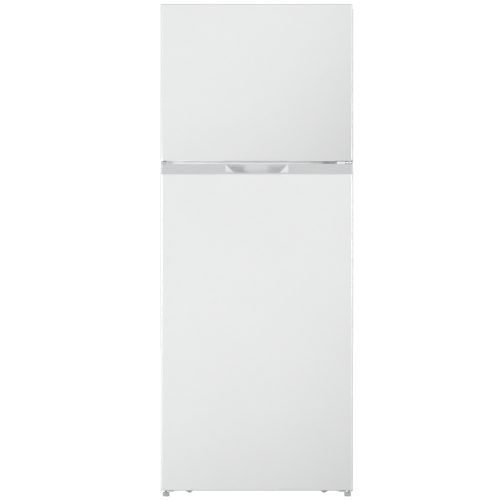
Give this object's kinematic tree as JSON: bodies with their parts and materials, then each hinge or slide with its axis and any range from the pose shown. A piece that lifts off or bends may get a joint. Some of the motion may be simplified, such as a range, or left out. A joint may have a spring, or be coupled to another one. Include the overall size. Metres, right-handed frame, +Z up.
{
  "type": "top freezer refrigerator",
  "caption": "Upright white refrigerator with a freezer compartment on top, two right-hinged doors, a grey handle strip with a finger pocket, shelves, bins and a crisper.",
  "frame": {"origin": "on the floor, below the centre of the bounding box, doors closed", "axes": "+X to the right seen from the front, +Y to the back, +Z up"},
  "size_m": [0.6, 0.655, 1.538],
  "materials": {
    "white_steel": "semi-gloss white stoved paint",
    "zinc_steel": "zinc-coated sheet",
    "dark_steel": "black paint",
    "insulation": "expanded foam",
    "white_plastic": "smooth moulded",
    "grey_plastic": "fine grain",
    "dark_plastic": "fine grain",
    "clear_plastic": "clear moulded",
    "lens": "frosted",
    "shelf_glass": "tempered",
    "seal": "soft matt",
    "black_rubber": "matt",
    "fins": "bright sheet"
  },
  "bodies": {
    "cabinet": {"cabinet_shell": "white_steel", "back_panel": "zinc_steel", "base_pan": "zinc_steel", "mullion_rail": "white_steel", "cabinet_foam": "insulation", "freezer_liner": "white_plastic", "fridge_liner": "white_plastic", "evaporator_cover": "white_plastic", "evaporator": "fins", "defrost_heater": "zinc_steel", "fan_motor": "dark_plastic", "air_duct": "white_plastic", "control_box": "white_plastic", "lamp_lens": "lens", "freezer_shelf": "white_steel", "shelf_glasses": "shelf_glass", "shelf_trims": "white_plastic", "crisper_cover_glass": "shelf_glass", "crisper_cover_frame": "white_plastic", "top_hinge": "zinc_steel", "top_hinge_cover": "white_plastic", "middle_hinge": "zinc_steel", "bottom_hinge": "zinc_steel", "left_foot_bracket": "zinc_steel", "screws": "zinc_steel", "roller_brackets": "zinc_steel", "compressor": "dark_steel", "compressor_mounts": "black_rubber", "relay_box": "dark_plastic", "drain_pan": "dark_plastic", "condenser_coil": "dark_steel", "machine_cover": "zinc_steel", "cord_gland": "black_rubber"},
    "freezer_door": {"freezer_door_skin": "white_steel", "freezer_door_foam": "insulation", "freezer_door_liner": "white_plastic", "freezer_door_top_cap": "grey_plastic", "freezer_door_bottom_cap": "white_plastic", "freezer_door_gasket": "seal", "freezer_bin_upper": "clear_plastic", "freezer_bin_lower": "clear_plastic", "freezer_door_plug": "dark_plastic"},
    "fridge_door": {"fridge_door_skin": "white_steel", "fridge_door_foam": "insulation", "fridge_door_liner": "white_plastic", "fridge_door_top_cap": "grey_plastic", "fridge_door_bottom_cap": "grey_plastic", "fridge_door_gasket": "seal", "door_bin_upper": "clear_plastic", "door_bin_middle": "clear_plastic", "door_bin_bottle": "clear_plastic", "fridge_door_plug": "dark_plastic"},
    "crisper": {"crisper_drawer": "clear_plastic"},
    "humidity_control": {"humidity_slider": "grey_plastic"},
    "temperature_knob": {"control_knob": "grey_plastic"},
    "evaporator_fan": {"fan_blade": "grey_plastic"},
    "rear_roller_right": {"roller_right": "dark_plastic"},
    "rear_roller_left": {"roller_left": "dark_plastic"},
    "front_foot_right": {"foot_right": "grey_plastic"},
    "front_foot_left": {"foot_left": "grey_plastic"}
  },
  "joints": [
    {"name": "freezer_door_hinge", "type": "hinge", "parent": "cabinet", "child": "freezer_door", "pos_m": [0.287, -0.3005, 0], "axis": [0, 0, 1], "range_deg": [0, 130]},
    {"name": "fridge_door_hinge", "type": "hinge", "parent": "cabinet", "child": "fridge_door", "pos_m": [0.287, -0.3005, 0], "axis": [0, 0, 1], "range_deg": [0, 130]},
    {"name": "crisper_slide", "type": "slide", "parent": "cabinet", "child": "crisper", "axis": [0, -1, 0], "range_m": [0, 0.2]},
    {"name": "humidity_slide", "type": "slide", "parent": "cabinet", "child": "humidity_control", "axis": [1, 0, 0], "range_m": [0, 0.06]},
    {"name": "temperature_turn", "type": "hinge", "parent": "cabinet", "child": "temperature_knob", "pos_m": [-0.06, -0.24, 0.979], "axis": [0, -1, 0], "range_deg": [0, 270]},
    {"name": "fan_spin", "type": "hinge", "parent": "cabinet", "child": "evaporator_fan", "pos_m": [0, 0.208, 1.388], "axis": [0, -1, 0], "continuous": true},
    {"name": "roller_right_spin", "type": "hinge", "parent": "cabinet", "child": "rear_roller_right", "pos_m": [0.24, 0.285, 0.01], "axis": [1, 0, 0], "continuous": true},
    {"name": "roller_left_spin", "type": "hinge", "parent": "cabinet", "child": "rear_roller_left", "pos_m": [-0.24, 0.285, 0.01], "axis": [1, 0, 0], "continuous": true},
    {"name": "foot_right_screw", "type": "slide", "parent": "cabinet", "child": "front_foot_right", "axis": [0, 0, -1], "range_m": [0, 0.01]},
    {"name": "foot_left_screw", "type": "slide", "parent": "cabinet", "child": "front_foot_left", "axis": [0, 0, -1], "range_m": [0, 0.01]}
  ],
  "couplings": [
    {"joint": "crisper_slide", "follows": "fridge_door_hinge", "m_per_rad": 0.088}
  ]
}
